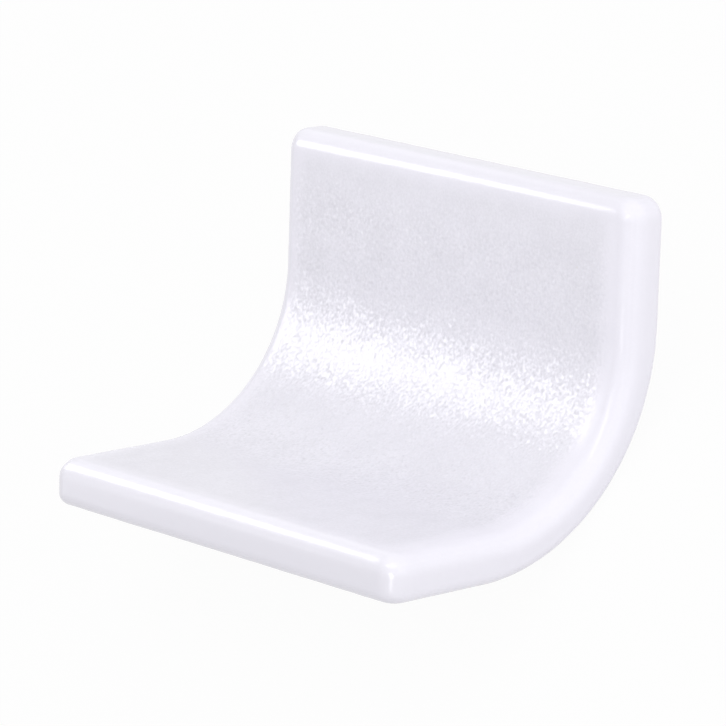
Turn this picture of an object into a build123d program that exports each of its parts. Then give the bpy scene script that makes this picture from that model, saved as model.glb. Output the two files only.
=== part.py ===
"""Coved stair tread tile: one small porcelain trim piece, glazed on its hollow face.

The tile turns the angle where the back of a tread meets the riser above it. It is one
pressed slab, bent a quarter turn about its length: a short flat leg, a wide concave sweep
and a second flat leg of the same length. The back is struck with a wider sweep than the
face, so the wall thins a little in the middle of the bend. The rim of the hollow face is
rounded over, the four corners of the legs are rounded in plan, and the bedding side has a
smaller edge round and shallow keying grooves for the adhesive.

It lies as it comes to rest on a level floor, rocked back on its convex side with both
legs raised. Millimetres: X is the tile's length, Z is up through the middle of the
sweep, and the origin is on the floor under the middle of the tile.
"""

from math import cos, radians
import os

from build123d import *

# Driving dimensions
tile_length = 48.0  # along the line where tread and riser meet
wall = 4.7  # thickness of each leg
cove_radius = 15.7  # radius of the concave face
back_radius = 21.8  # radius of the convex bedding side
leg_flat = 12.2  # flat stretch of each leg on the bedding side
sweep_angle = 90.0  # turn from one leg to the other

face_round = 1.8  # edge round of the glazed hollow face
back_round = 1.2  # edge round of the bedding side
face_corner = 0.4  # corner radius of the glazed face inside its edge round

key_depth = 0.5  # depth of a keying groove
key_width = 3.0  # width of a keying groove
key_land = 3.0  # land left between two grooves
key_margin = 4.5  # plain border kept round the grooved field

# Worked out from those. The section is drawn with Y across and Z up.
half_sweep = sweep_angle / 2
back_axis = (0, back_radius)
face_drop = (back_radius - wall - cove_radius) / cos(radians(half_sweep))
face_axis = (0, back_radius - face_drop)
corner_radius = face_round + face_corner

key_pitch = key_width + key_land
key_count = int((tile_length - 2 * key_margin + key_land) // key_pitch)
key_places = [(place - (key_count - 1) / 2) * key_pitch for place in range(key_count)]

with BuildPart() as cove_tile:
    # The bent slab: half of its section, mirrored and drawn out to the tile's length
    with BuildSketch(Plane.YZ):
        with BuildLine():
            back_sweep = CenterArc(back_axis, back_radius, 270, half_sweep)
            back_leg = PolarLine(back_sweep @ 1, leg_flat, half_sweep)
            leg_end = PolarLine(back_leg @ 1, wall, half_sweep + 90)
            face_sweep = CenterArc(face_axis, cove_radius, 270, half_sweep)
            Line(leg_end @ 1, face_sweep @ 1)
            Line(face_sweep @ 0, back_sweep @ 0)
        make_face()
        mirror(about=Plane.YZ)
    extrude(amount=tile_length / 2, both=True)

    # Corners of the legs, rounded in plan
    leg_ends = cove_tile.faces().sort_by(Axis.Z)[-2:]
    fillet(leg_ends.edges().filter_by(Axis.X, reverse=True), radius=corner_radius)

    # The two rims have no corner left, so a round that starts on one edge runs all the way
    face_rim = cove_tile.edges().filter_by(Axis.X).sort_by(Axis.Z)[-1]
    fillet(face_rim, radius=face_round)
    back_rim = cove_tile.edges().filter_by(Axis.X).sort_by(Axis.Y)[-1]
    fillet(back_rim, radius=back_round)

    # Keying grooves, which run over the convex side and stop inside its border
    with BuildSketch(*[Plane.YZ.offset(place) for place in key_places]):
        with BuildLine():
            bend = CenterArc(back_axis, back_radius, 270 - half_sweep, sweep_angle)
            PolarLine(bend @ 0, leg_flat - key_margin, 180 - half_sweep)
            PolarLine(bend @ 1, leg_flat - key_margin, half_sweep)
        trace(line_width=2 * key_depth)
    extrude(amount=key_width / 2, both=True, mode=Mode.SUBTRACT)

cove_tile.part.label = "cove_tile"
os.makedirs("parts", exist_ok=True)
export_step(cove_tile.part, "parts/cove_tile.step")
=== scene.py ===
import math

import bpy
from mathutils import Matrix, Vector


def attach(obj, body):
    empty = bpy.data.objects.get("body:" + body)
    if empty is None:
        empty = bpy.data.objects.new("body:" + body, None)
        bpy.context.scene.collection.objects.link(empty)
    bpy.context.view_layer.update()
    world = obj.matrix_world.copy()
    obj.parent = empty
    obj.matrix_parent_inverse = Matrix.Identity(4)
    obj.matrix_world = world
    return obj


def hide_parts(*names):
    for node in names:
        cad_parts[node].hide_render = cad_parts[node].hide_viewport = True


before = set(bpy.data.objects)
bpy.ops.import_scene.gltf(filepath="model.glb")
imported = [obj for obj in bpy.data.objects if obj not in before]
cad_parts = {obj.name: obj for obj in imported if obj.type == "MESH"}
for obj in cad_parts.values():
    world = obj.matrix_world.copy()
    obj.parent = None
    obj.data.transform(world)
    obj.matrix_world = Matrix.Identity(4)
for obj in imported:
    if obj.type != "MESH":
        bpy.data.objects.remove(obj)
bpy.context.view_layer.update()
scene = bpy.context.scene
print("frame loaded:", ", ".join(sorted(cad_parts)))


class flow:
    # one value on its way through a node tree, so that a formula fits on a line
    def __init__(self, tree, socket):
        self.tree, self.socket = tree, socket

    def step(self, operation, *others):
        made = self.tree.nodes.new("ShaderNodeMath")
        made.operation = operation
        for value, socket in zip((self,) + others, made.inputs):
            plug(value, socket)
        return flow(self.tree, made.outputs[0])

    def __add__(self, other): return self.step("ADD", other)
    def __sub__(self, other): return self.step("SUBTRACT", other)
    def __mul__(self, other): return self.step("MULTIPLY", other)
    def __truediv__(self, other): return self.step("DIVIDE", other)
    def __rsub__(self, other): return self * -1 + other
    def __rtruediv__(self, other): return self.step("POWER", -1.0) * other
    __radd__ = __add__
    __rmul__ = __mul__


def plug(value, socket):
    if isinstance(value, flow):
        value.tree.links.new(value.socket, socket)
    else:
        socket.default_value = value


def most(a, b): return a.step("MAXIMUM", b)
def least(a, b): return a.step("MINIMUM", b)
def absolute(a): return a.step("ABSOLUTE")
def root(a): return a.step("SQRT")
def sine(a): return a.step("SINE")
def cosine(a): return a.step("COSINE")


def ease(value, low, high):
    # 0 below low, 1 above high, and a soft step between them
    made = value.tree.nodes.new("ShaderNodeMapRange")
    made.interpolation_type = "SMOOTHSTEP"
    for socket, entry in zip(made.inputs, (value, low, high, 0.0, 1.0)):
        plug(entry, socket)
    return flow(value.tree, made.outputs[0])


def blend(amount, a, b):
    return a + (b - a) * amount


def node(tree, kind, **settings):
    made = tree.nodes.new(kind)
    for name, value in settings.items():
        setattr(made, name, value)
    return made


def noise(tree, place, scale, detail, rough, seed):
    # a fixed seed rides on the fourth dimension
    made = node(tree, "ShaderNodeTexNoise", noise_dimensions="4D")
    plug(place, made.inputs["Vector"])
    plug(seed, made.inputs["W"])
    plug(scale, made.inputs["Scale"])
    plug(detail, made.inputs["Detail"])
    plug(rough, made.inputs["Roughness"])
    return flow(tree, made.outputs[0])


# the tile is a flat slab of small squares, which Geometry Nodes shape, bend and groove
tileSizes = {  # millimetres
    "Length": 48.0,
    "Wall": 4.7,
    "Cove Radius": 15.7,
    "Back Radius": 21.8,
    "Leg Flat": 12.2,
    "Face Round": 1.8,
    "Back Round": 1.2,
    "Face Corner": 0.4,
    "Key Depth": 0.5,
    "Key Width": 3.0,
    "Key Land": 3.0,
    "Key Count": 7.0,
    "Key Margin": 4.5,
    "Glaze Wave": 0.035,  # depth of the slow swells in the glaze
    "Wave Size": 7.0,
    "Peel": 0.060,  # depth of the finer unevenness
    "Peel Size": 1.9,
    "Glaze Line": 0.9,  # how far the glaze laps over the bedding side
    "Glaze Ragged": 1.2,  # how unsteady that line is
    "End Border": 3.1,  # clear glaze left along the two ends of the satin face
    "Leg Border": 2.4,  # and along the two legs
    "Border Ragged": 0.8,
    "Satin Shift": 0.5,  # how far the satin glaze sits off the middle
    "End Fall": 0.30,  # how far the face falls away over the end border
    "Seed": 4.0,
    "Mesh Step": 0.3,
}


def tileTree(sizes):
    tree = bpy.data.node_groups.new("cove tile", "GeometryNodeTree")
    for name, value in sizes.items():
        entry = tree.interface.new_socket(name=name, in_out="INPUT", socket_type="NodeSocketFloat")
        entry.default_value = value
    tree.interface.new_socket(name="Finish", in_out="INPUT", socket_type="NodeSocketMaterial")
    tree.interface.new_socket(name="Geometry", in_out="OUTPUT", socket_type="NodeSocketGeometry")
    given = node(tree, "NodeGroupInput")
    done = node(tree, "NodeGroupOutput")
    value = {name: flow(tree, given.outputs[name]) for name in sizes}

    length, wall, step = value["Length"], value["Wall"], value["Mesh Step"]
    cove, back, leg = value["Cove Radius"], value["Back Radius"], value["Leg Flat"]
    faceRound, backRound = value["Face Round"], value["Back Round"]
    corner = faceRound + value["Face Corner"]
    eighth = math.pi / 4
    slant = math.sqrt(0.5)

    # the two sweeps have their own centres, so the face has a little more flat than the back
    spread = back - wall - cove
    faceLeg = leg + spread
    faceCentre = back - spread * math.sqrt(2)
    backHalf = leg + back * eighth
    faceHalf = faceLeg + cove * eighth
    flatHalf = (backHalf + faceHalf) * 0.5
    halfLength = length * 0.5

    # the plain slab
    slab = node(tree, "GeometryNodeMeshCube")
    extent = node(tree, "ShaderNodeCombineXYZ")
    for entry, side in enumerate((length, flatHalf * 2, wall)):
        plug(side, extent.inputs[entry])
        count = node(tree, "FunctionNodeFloatToInt", rounding_mode="ROUND")
        plug(side / step + 1, count.inputs[0])
        tree.links.new(count.outputs[0], slab.inputs[entry + 1])
    tree.links.new(extent.outputs[0], slab.inputs["Size"])

    place = node(tree, "ShaderNodeSeparateXYZ")
    tree.links.new(node(tree, "GeometryNodeInputPosition").outputs[0], place.inputs[0])
    along = flow(tree, place.outputs[0])
    across = flow(tree, place.outputs[1])
    height = flow(tree, place.outputs[2]) + wall * 0.5

    # its four corners rounded in plan: squares round a corner become arcs round it
    coreAlong = least(absolute(along), halfLength - corner)
    coreAcross = least(absolute(across), flatHalf - corner)
    overAlong = absolute(along) - coreAlong
    overAcross = absolute(across) - coreAcross
    reach = most(overAlong, overAcross)
    distance = most(root(overAlong * overAlong + overAcross * overAcross), 0.00001)
    inset = least(halfLength - absolute(along), flatHalf - absolute(across))

    # its rims rounded, the wide round of the face first and then the small one of the back
    inward = most(faceRound - inset, 0.0)
    upward = most(height - (wall - faceRound), 0.0)
    pull = 1 - faceRound / most(root(inward * inward + upward * upward), faceRound * 0.5)
    pull = most(pull, 0.0)
    moved = inward * pull
    lifted = height - upward * pull
    inward = most(backRound - inset, 0.0)
    downward = most(backRound - height, 0.0)
    pull = 1 - backRound / most(root(inward * inward + downward * downward), backRound * 0.5)
    pull = most(pull, 0.0)
    isBack = downward.step("GREATER_THAN", 0.0)
    moved = blend(isBack, moved, inward * pull)
    lifted = lifted + downward * pull

    # towards its two ends the face falls away a little before the round begins
    fall = most(1 - (halfLength - absolute(along)) / value["End Border"], 0.0)
    lifted = lifted - fall * fall * value["End Fall"] * lifted / wall

    ratio = (reach - moved) / distance
    newAlong = (coreAlong + overAlong * ratio) * along.step("SIGN")
    newAcross = coreAcross + overAcross * ratio

    # the slab bent a quarter turn: true to size near the leg ends, and shared out over the rest
    border = leg * 0.5
    fromEnd = flatHalf - newAcross
    nearEnd = least(fromEnd, border)
    restShare = most(fromEnd - border, 0.0) / (flatHalf - border)

    def sweepPoint(radius, half, centreHeight, lift):
        # a point of one sweep and its leg, lifted off it by so much
        fromMiddle = half - nearEnd - restShare * (half - border)
        angle = least(fromMiddle / radius, eighth)
        beyond = most(fromMiddle - radius * eighth, 0.0)
        out = sine(angle) * (radius - lift) + beyond * slant
        up = centreHeight - cosine(angle) * (radius - lift) + beyond * slant
        return out, up

    backOut, backUp = sweepPoint(back, backHalf, back, lifted)
    faceOut, faceUp = sweepPoint(cove, faceHalf, faceCentre, lifted - wall)
    through = ease(lifted, backRound, wall - faceRound)
    out = blend(through, backOut, faceOut) * across.step("SIGN")
    up = blend(through, backUp, faceUp)

    bent = node(tree, "ShaderNodeCombineXYZ")
    for entry, part in enumerate((newAlong, out, up)):
        plug(part, bent.inputs[entry])
    spot = flow(tree, bent.outputs[0])

    # what the material needs to know of each place, kept before the slab is bent
    onFace = ease(height, wall - 0.1, wall - 0.01)
    onBack = 1 - ease(height, 0.01, 0.1)
    ragged = noise(tree, spot, 0.32, 3.0, 0.6, value["Seed"] + 9) - 0.5
    glazeEdge = inset - value["Glaze Line"] + ragged * value["Glaze Ragged"]
    endEdge = halfLength - absolute(along + value["Satin Shift"]) - value["End Border"]
    endEdge = endEdge + ragged * value["Border Ragged"]
    legEdge = flatHalf - absolute(across) - value["Leg Border"] + ragged * value["Border Ragged"]
    marks = {
        "satin": ease(endEdge, -1.5, 0.4) * ease(legEdge, -1.4, 6.0) * onFace,  # grain
        "dense": ease(endEdge, -1.2, 1.4) * ease(legEdge, -1.4, 1.2) * onFace,  # colour
        "flat": ease(inset, faceRound - 0.3, faceRound + 0.3) * onFace,
        "biscuit": ease(glazeEdge, -0.15, 0.2) * onBack,
        "face": height / wall,  # from 0 at the back to 1 at the face
    }
    mesh = slab.outputs["Mesh"]
    for name, amount in marks.items():
        keep = node(tree, "GeometryNodeStoreNamedAttribute", data_type="FLOAT", domain="POINT")
        tree.links.new(mesh, keep.inputs["Geometry"])
        keep.inputs["Name"].default_value = name
        plug(amount, [s for s in keep.inputs if s.name == "Value" and s.enabled][0])
        mesh = keep.outputs[0]

    # keying grooves on the bedding side, which stop short of the leg ends
    keyHalf, keyMargin = value["Key Width"] * 0.5, value["Key Margin"]
    pitch = value["Key Width"] + value["Key Land"]
    offset = (value["Key Count"] + 1).step("MODULO", 2.0) * pitch * 0.5  # for an even count
    counted = (along + offset) / pitch
    toGroove = absolute(counted - counted.step("ROUND")) * pitch
    lastGroove = value["Key Count"] * pitch * 0.5
    groove = 1 - ease(toGroove, keyHalf + 0.02, keyHalf + step * 0.95)
    groove = groove * (1 - ease(absolute(along), lastGroove - 0.1, lastGroove))
    groove = groove * ease(flatHalf - absolute(across), keyMargin - 0.05, keyMargin + step) * onBack

    # every swell goes inwards, so the tile never outgrows its own size
    swell = noise(tree, spot, 1 / value["Wave Size"], 1.5, 0.4, value["Seed"])
    peel = noise(tree, spot, 1 / value["Peel Size"], 1.0, 0.5, value["Seed"] + 3)
    sink = swell * value["Glaze Wave"] + peel * value["Peel"] + groove * value["Key Depth"]

    # that depth is worked out on the slab, before it moves
    carry = node(tree, "GeometryNodeCaptureAttribute", domain="POINT")
    tree.links.new(mesh, carry.inputs["Geometry"])
    carry.capture_items.new("FLOAT", "Sink")
    plug(sink, carry.inputs["Sink"])
    shape = node(tree, "GeometryNodeSetPosition")
    tree.links.new(carry.outputs["Geometry"], shape.inputs["Geometry"])
    tree.links.new(bent.outputs[0], shape.inputs["Position"])

    relief = node(tree, "GeometryNodeSetPosition")
    tree.links.new(shape.outputs[0], relief.inputs["Geometry"])
    inwards = node(tree, "ShaderNodeVectorMath", operation="SCALE")
    tree.links.new(node(tree, "GeometryNodeInputNormal").outputs[0], inwards.inputs[0])
    plug(flow(tree, carry.outputs["Sink"]) * -1, inwards.inputs["Scale"])
    tree.links.new(inwards.outputs[0], relief.inputs["Offset"])

    metres = node(tree, "GeometryNodeTransform")
    tree.links.new(relief.outputs[0], metres.inputs["Geometry"])
    metres.inputs["Scale"].default_value = (0.001, 0.001, 0.001)

    smooth = node(tree, "GeometryNodeSetShadeSmooth")
    whole = node(tree, "GeometryNodeRealizeInstances")
    finish = node(tree, "GeometryNodeSetMaterial")
    tree.links.new(metres.outputs[0], smooth.inputs["Geometry"])
    tree.links.new(smooth.outputs[0], whole.inputs[0])
    tree.links.new(whole.outputs[0], finish.inputs["Geometry"])
    tree.links.new(given.outputs["Finish"], finish.inputs["Material"])
    tree.links.new(finish.outputs[0], done.inputs[0])
    return tree


def nodesToMesh(name, tree, entries):
    # runs a tree once and keeps its result as a plain mesh
    start = bpy.data.objects.new(name + "Start", bpy.data.meshes.new(name + "Start"))
    scene.collection.objects.link(start)
    modifier = start.modifiers.new("shape", "NODES")
    modifier.node_group = tree
    for item in tree.interface.items_tree:
        if item.in_out == "INPUT" and item.name in entries:
            modifier[item.identifier] = entries[item.name]
    graph = bpy.context.evaluated_depsgraph_get()
    mesh = bpy.data.meshes.new_from_object(start.evaluated_get(graph))
    start.modifiers.remove(modifier)
    bpy.data.objects.remove(start)
    mesh.name = name
    made = bpy.data.objects.new(name, mesh)
    scene.collection.objects.link(made)
    return made


glazeLook = {
    "colour": (0.800, 0.788, 0.857),  # white satin glaze with a cool cast
    "bright colour": (0.877, 0.861, 0.939),  # clear glaze of the rounds and borders
    "biscuit": (0.760, 0.735, 0.700),  # unglazed bedding side
    "gloss": 0.22,  # roughness of the rounds
    "satin": 0.27,  # of the flat face
    "bare": 0.8,  # and of the bare back
    "cloud scale": 260.0,  # patterns, in turns per metre
    "speckle scale": 4200.0,
    "clay scale": 1500.0,
    "dust scale": 2600.0,
    "dust depth": 0.00003,  # metres
    "grain size": 0.34,  # millimetres
    "grain tilt": 0.80,
    "pinhole spacing": 6.0,  # millimetres
    "pinhole strength": 0.35,
    "seed": 2.0,
}


def glazeMaterial(look):
    made = bpy.data.materials.new("whiteGlaze")
    made.use_nodes = True
    tree = made.node_tree
    shader = tree.nodes["Principled BSDF"]
    place = flow(tree, node(tree, "ShaderNodeTexCoord").outputs["Object"])

    def mark(name):
        return flow(tree, node(tree, "ShaderNodeAttribute", attribute_name=name).outputs["Fac"])

    def mix(amount, first, second):
        mixed = node(tree, "ShaderNodeMix", data_type="RGBA")
        plug(amount, mixed.inputs[0])
        for value, socket in ((first, mixed.inputs[6]), (second, mixed.inputs[7])):
            plug(value if isinstance(value, flow) else (*value, 1.0), socket)
        return flow(tree, mixed.outputs[2])

    def shade(colour, share):
        return [c * share for c in colour]

    satin, bare = mark("satin"), mark("biscuit")
    plain, bright, biscuit = look["colour"], look["bright colour"], look["biscuit"]
    cloud = noise(tree, place, look["cloud scale"], 3.0, 0.55, look["seed"])
    speckle = noise(tree, place, look["speckle scale"], 2.0, 0.6, look["seed"] + 1)
    body = ease(cloud * 0.4 + speckle * 0.6, 0.35, 0.65)
    body = mix(body, shade(plain, 1.02), shade(plain, 0.955))
    clear = mix(ease(cloud * 0.5 + speckle * 0.5, 0.35, 0.65), bright, shade(bright, 0.98))
    glazed = mix(1 - mark("dense"), body, clear)

    # painted shade: outside the satin face the glaze is darkened a little on the way down to the
    # bedding side, where less light reaches
    paintedShade = (1 - ease(mark("face"), 0.3, 0.9)) * (1 - satin)
    glazed = mix(paintedShade, glazed, shade(bright, 0.95))

    # a few pinholes, as fired glaze has
    spots = node(tree, "ShaderNodeTexVoronoi", voronoi_dimensions="3D", feature="F1")
    plug(place, spots.inputs["Vector"])
    spots.inputs["Scale"].default_value = 1000 / look["pinhole spacing"]
    pinhole = 1 - ease(flow(tree, spots.outputs["Distance"]), 0.012, 0.030)
    glazed = mix(pinhole * look["pinhole strength"], glazed, biscuit)

    coarse = noise(tree, place, look["clay scale"], 2.0, 0.6, look["seed"] + 4)
    clay = mix(ease(coarse, 0.4, 0.62), biscuit, shade(biscuit, 0.93))
    colour = mix(bare, glazed, clay)
    tree.links.new(colour.socket, shader.inputs["Base Color"])

    rough = blend(bare, blend(mark("flat"), look["gloss"], look["satin"]), look["bare"])
    tree.links.new(rough.socket, shader.inputs["Roughness"])

    # the satin face is a field of tiny facets, each leaning its own way,
    # which breaks a reflection into sparks
    facets = node(tree, "ShaderNodeTexNoise", noise_dimensions="4D")
    plug(place, facets.inputs["Vector"])
    facets.inputs["W"].default_value = look["seed"] + 2
    facets.inputs["Scale"].default_value = 1000 / look["grain size"]
    facets.inputs["Detail"].default_value = 1.0
    lean = node(tree, "ShaderNodeVectorMath", operation="SUBTRACT")
    tree.links.new(facets.outputs["Color"], lean.inputs[0])
    lean.inputs[1].default_value = (0.5, 0.5, 0.5)
    amount = node(tree, "ShaderNodeVectorMath", operation="SCALE")
    tree.links.new(lean.outputs[0], amount.inputs[0])
    # at a shallow view they hide each other and even out
    glancing = flow(tree, node(tree, "ShaderNodeLayerWeight").outputs["Facing"])
    calm = 1 - ease(glancing, 0.5, 0.8) * 0.85
    plug(satin * calm * look["grain tilt"], amount.inputs["Scale"])
    tilted = node(tree, "ShaderNodeVectorMath", operation="ADD")
    tree.links.new(node(tree, "ShaderNodeNewGeometry").outputs["Normal"], tilted.inputs[0])
    tree.links.new(amount.outputs[0], tilted.inputs[1])
    straight = node(tree, "ShaderNodeVectorMath", operation="NORMALIZE")
    tree.links.new(tilted.outputs[0], straight.inputs[0])

    # bare clay is sandy
    dust = noise(tree, place, look["dust scale"], 2.0, 0.6, look["seed"] + 3)
    bump = node(tree, "ShaderNodeBump")
    bump.inputs["Strength"].default_value = 1.0
    bump.inputs["Distance"].default_value = look["dust depth"]
    plug(dust * bare, bump.inputs["Height"])
    tree.links.new(straight.outputs[0], bump.inputs["Normal"])
    tree.links.new(bump.outputs[0], shader.inputs["Normal"])
    return made


def seenAsWhite(tree):
    # 1 where the camera looks straight, in a reflection or through glass, and 0 for plain light
    path = node(tree, "ShaderNodeLightPath")
    names = ("Is Camera Ray", "Is Glossy Ray", "Is Transmission Ray")
    straight, mirrored, through = [flow(tree, path.outputs[name]) for name in names]
    return least(straight + mirrored + through, 1.0)


floorLook = {
    "half width": 3.0,  # metres
    "matt": 0.72,  # its own grey
    "seen": 0.96,  # how far the camera sees it as white, the rest is its shadow
}


def floorMaterial(look):
    made = bpy.data.materials.new("paleFloor")
    made.use_nodes = True
    tree = made.node_tree
    tree.nodes.clear()
    matt = node(tree, "ShaderNodeBsdfDiffuse")
    matt.inputs["Color"].default_value = (*[look["matt"]] * 3, 1.0)
    white = node(tree, "ShaderNodeEmission")
    white.inputs["Strength"].default_value = 1.0
    both = node(tree, "ShaderNodeMixShader")
    plug(seenAsWhite(tree) * look["seen"], both.inputs[0])
    tree.links.new(matt.outputs[0], both.inputs[1])
    tree.links.new(white.outputs[0], both.inputs[2])
    tree.links.new(both.outputs[0], node(tree, "ShaderNodeOutputMaterial").inputs["Surface"])
    return made


def buildFloor(look):
    half = look["half width"]
    corners = [(-half, -half, 0), (half, -half, 0), (half, half, 0), (-half, half, 0)]
    mesh = bpy.data.meshes.new("floor")
    mesh.from_pydata(corners, [], [(0, 1, 2, 3)])
    mesh.materials.append(floorMaterial(look))
    made = bpy.data.objects.new("floor", mesh)
    scene.collection.objects.link(made)
    return made


roomLight = {
    "level": 0.78,  # how bright it lights the tile
    "seen": 1.0,  # how bright the camera and the glaze see it
}


def buildRoom(look):
    world = bpy.data.worlds.new("whiteRoom")
    scene.world = world
    world.use_nodes = True
    tree = world.node_tree
    tree.nodes.clear()
    strength = seenAsWhite(tree) * (look["seen"] - look["level"]) + look["level"]
    paper = node(tree, "ShaderNodeBackground")
    paper.inputs["Color"].default_value = (1.0, 1.0, 1.0, 1.0)
    plug(strength, paper.inputs["Strength"])
    tree.links.new(paper.outputs[0], node(tree, "ShaderNodeOutputWorld").inputs["Surface"])


def facing(back, roll=0.0):
    # a turn whose local Z points along back, with the horizon tipped by roll degrees
    back = back.normalized()
    right = Vector((-back.y, back.x, 0.0)).normalized()
    up = back.cross(right)
    c, s = math.cos(math.radians(roll)), math.sin(math.radians(roll))
    return Matrix((right * c + up * s, up * c - right * s, back)).transposed()


def direction(turn, rise):
    # turn is measured from the front (-Y) towards +X, rise from the floor
    turn, rise = math.radians(turn), math.radians(rise)
    flat = math.cos(rise)
    return Vector((math.sin(turn) * flat, -math.cos(turn) * flat, math.sin(rise)))


# in metres: where each lamp stands, what it faces, its width, its height, and its brightness,
# where 1 is about the white of the room
glints = {  # near ones, which only show as reflections
    "stripLeft": ((-0.0696, -0.0070, 0.0707), (-0.0066, 0.0010, 0.0057), 0.031, 0.056, 4.8),
    "haloLeft": ((-0.0776, -0.0002, 0.0765), (-0.0083, 0.0086, 0.0050), 0.101, 0.070, 0.52),
    "glowLeft": ((-0.0916, -0.0746, 0.0537), (-0.0222, -0.0658, -0.0179), 0.035, 0.075, 0.7),
    "cardLeftBack": ((-0.085, 0.074, 0.050), (0.0, 0.0, 0.012), 0.060, 0.060, 0.4),
    "sparkFront": ((0.0416, -0.0424, 0.0345), (0.0230, -0.0214, 0.0169), 0.012, 0.013, 6.0),
    "sparkAbove": ((0.0427, -0.0040, 0.068), (0.0247, 0.0085, 0.005), 0.046, 0.010, 3.0),
}
softLamps = {  # far ones, which light the tile and don't show in it
    "softboxRight": ((0.60, 0.02, 0.13), (0.0, 0.0, 0.012), 0.60, 0.60, 0.95),
    "softboxEnd": ((0.10, 0.06, 0.05), (0.024, 0.015, 0.015), 0.040, 0.040, 0.6),
    "softboxBack": ((0.02, 0.42, 0.45), (0.0, 0.0, 0.012), 0.30, 0.30, 0.6),
    "softboxTop": ((-0.02, 0.0, 0.60), (0.0, 0.001, 0.012), 0.50, 0.50, 0.5),
}


def buildLamps(entries, glint):
    for name, (at, towards, width, height, brightness) in entries.items():
        data = bpy.data.lights.new(name, "AREA")
        data.shape = "RECTANGLE"
        data.size, data.size_y = width, height
        data.energy = 4 * brightness * width * height
        made = bpy.data.objects.new(name, data)
        at, towards = Vector(at), Vector(towards)
        made.matrix_world = Matrix.Translation(at) @ facing(at - towards).to_4x4()
        made.visible_camera = False
        made.visible_diffuse = not glint
        made.visible_glossy = glint
        scene.collection.objects.link(made)


view = {
    "middle": (0.0, 0.0, 0.0150),  # what the camera looks at, in metres
    "turn": 65.592,  # degrees
    "rise": 39.070,
    "roll": -39.601,
    "distance": 0.47587,
    "lens": 249.29,  # millimetres, on a sensor 36 wide
    "shiftX": 0.0141,
    "shiftY": -0.0140,
}


def buildCamera(look):
    data = bpy.data.cameras.new("camera")
    data.sensor_width = 36.0
    data.lens = look["lens"]
    data.shift_x, data.shift_y = look["shiftX"], look["shiftY"]
    data.clip_start, data.clip_end = 0.01, 20.0
    made = bpy.data.objects.new("camera", data)
    away = direction(look["turn"], look["rise"])
    stand = Matrix.Translation(Vector(look["middle"]) + away * look["distance"])
    made.matrix_world = stand @ facing(away, look["roll"]).to_4x4()
    scene.collection.objects.link(made)
    scene.camera = made


entries = {**tileSizes, "Finish": glazeMaterial(glazeLook)}
tile = nodesToMesh("coveTile", tileTree(tileSizes), entries)
print("tile:", len(tile.data.polygons), "faces")

floor = buildFloor(floorLook)
buildRoom(roomLight)
buildLamps(glints, True)
buildLamps(softLamps, False)
buildCamera(view)
scene.view_settings.view_transform = "Standard"
print("floor, light and camera ready")

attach(tile, "root")
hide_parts("cove_tile")
